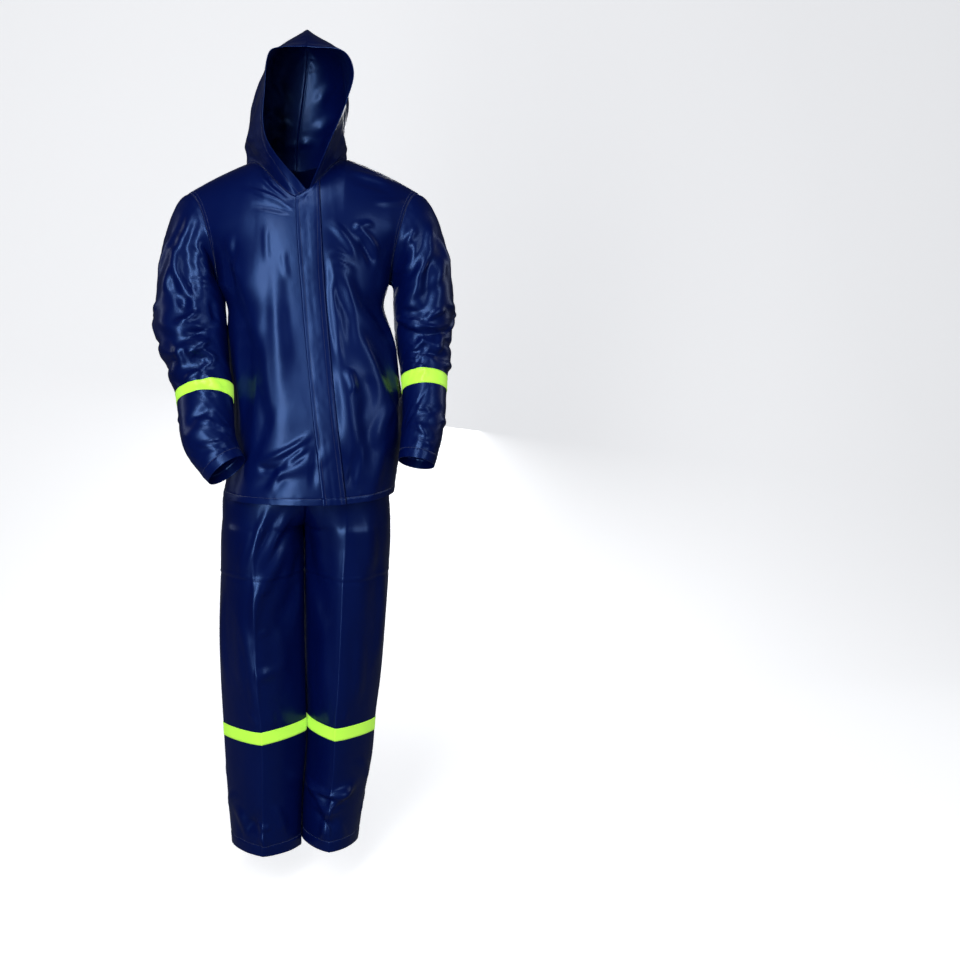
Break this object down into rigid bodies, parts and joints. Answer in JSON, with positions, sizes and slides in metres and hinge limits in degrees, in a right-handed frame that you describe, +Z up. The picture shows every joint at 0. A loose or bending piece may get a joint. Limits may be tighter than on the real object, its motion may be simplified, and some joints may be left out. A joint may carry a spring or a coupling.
{
  "type": "rain suit",
  "caption": "Hooded rain jacket over straight rain trousers in glossy coated cloth, filled out as worn and hollow, with a storm flap and bright reflective tape on sleeves, legs and back.",
  "frame": {"origin": "inside the collar, between the shoulders at the base of the neck, where the wearer's shoulders hold the suit up", "axes": "+Z up, +X towards the wearer's left, -Y towards the front"},
  "size_m": [0.6348, 0.3403, 1.7588],
  "materials": {
    "coated_cloth": "glossy polymer-coated navy cloth, smooth and slightly grained",
    "trouser_cloth": null,
    "reflective_tape": "fluorescent yellow-green tape with a satin face",
    "zip_tape": "matt woven navy tape",
    "waist_elastic": "coated cloth gathered over elastic"
  },
  "bodies": {
    "root": {"jacket_front_right": "coated_cloth", "jacket_front_left": "coated_cloth", "jacket_back": "coated_cloth", "storm_flap": "coated_cloth", "sleeve_right": "coated_cloth", "sleeve_left": "coated_cloth", "hood_right": "coated_cloth", "hood_left": "coated_cloth", "front_zip": "zip_tape", "sleeve_tape_right": "reflective_tape", "sleeve_tape_left": "reflective_tape", "back_tape": "reflective_tape", "trouser_front_right": "trouser_cloth", "trouser_front_left": "trouser_cloth", "trouser_back_right": "trouser_cloth", "trouser_back_left": "trouser_cloth", "waistband": "waist_elastic", "leg_tape_right": "reflective_tape", "leg_tape_left": "reflective_tape"}
  },
  "joints": []
}
